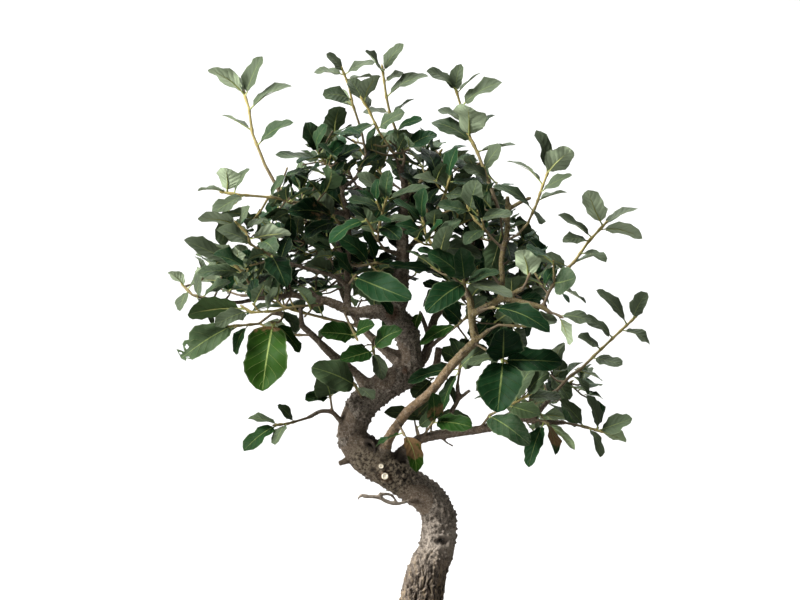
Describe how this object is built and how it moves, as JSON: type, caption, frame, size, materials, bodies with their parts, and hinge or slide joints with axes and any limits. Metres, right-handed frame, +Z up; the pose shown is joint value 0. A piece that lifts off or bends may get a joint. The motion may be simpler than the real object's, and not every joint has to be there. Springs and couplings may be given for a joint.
{
  "type": "bonsai tree in a pot",
  "caption": "Small cork oak grown as an informal upright bonsai, with a winding corky trunk and leafy shoots, in a plain oblong unglazed pot.",
  "frame": {"origin": "under the middle of the object's bounding box, on the surface that the pot's feet stand on", "axes": "+Z up, +X to the right as the tree's front is seen, -Y towards the viewer, +Y towards the tree's back"},
  "size_m": [0.3824, 0.216, 0.5459],
  "materials": {
    "bark": "rough, fissured grey-brown bark",
    "shoot": "semi-gloss dark green leaves, felted grey-green below, on tan twigs",
    "pot": "matt unglazed brown clay",
    "soil": "damp granular soil with moss",
    "drain_screen": "matt black"
  },
  "bodies": {
    "root": {"pot": "pot", "soil": "soil", "drain_screen_left": "drain_screen", "drain_screen_right": "drain_screen", "trunk": "bark", "spray_upper_left": "shoot", "spray_upper_left_side": "shoot", "spray_left_middle": "shoot", "spray_left_middle_low": "shoot", "spray_left_tip": "shoot", "spray_left_low_front": "shoot", "spray_left_low_lobe": "shoot", "spray_left_low_bright": "shoot", "spray_left_low_inner": "shoot", "spray_trunk_left": "shoot", "spray_bottom_left": "shoot", "spray_bottom_left_tip": "shoot", "spray_top_left": "shoot", "spray_top_inner": "shoot", "spray_top_centre": "shoot", "spray_top_right": "shoot", "spray_right_high": "shoot", "spray_right_middle": "shoot", "spray_right_inner": "shoot", "spray_right_front": "shoot", "spray_right_end": "shoot", "spray_far_right": "shoot", "spray_low_right_inner": "shoot", "spray_low_right_tip": "shoot", "spray_low_right_hanging": "shoot", "spray_right_centre": "shoot", "spray_right_thin": "shoot", "spray_centre_low": "shoot", "spray_centre_low_front": "shoot", "spray_centre_brown": "shoot", "spray_centre_upper": "shoot", "spray_centre_cluster": "shoot", "spray_centre_left": "shoot", "spray_centre_right": "shoot", "spray_centre_leaf": "shoot", "spray_centre_twig": "shoot", "spray_left_dark": "shoot", "spray_left_curled": "shoot", "spray_centre_dark": "shoot", "spray_inner_left": "shoot", "spray_inner_olive": "shoot", "spray_inner_top": "shoot", "spray_inner_top_left": "shoot", "spray_inner_high_left": "shoot", "spray_inner_mid_left": "shoot", "spray_inner_high_right": "shoot", "spray_inner_low_right": "shoot", "spray_back_right": "shoot", "spray_back_right_middle": "shoot", "spray_back_left": "shoot", "spray_back_left_middle": "shoot", "spray_back_high": "shoot", "spray_back_low_left": "shoot", "spray_back_low_right": "shoot", "spray_back_upper_left": "shoot"}
  },
  "joints": []
}
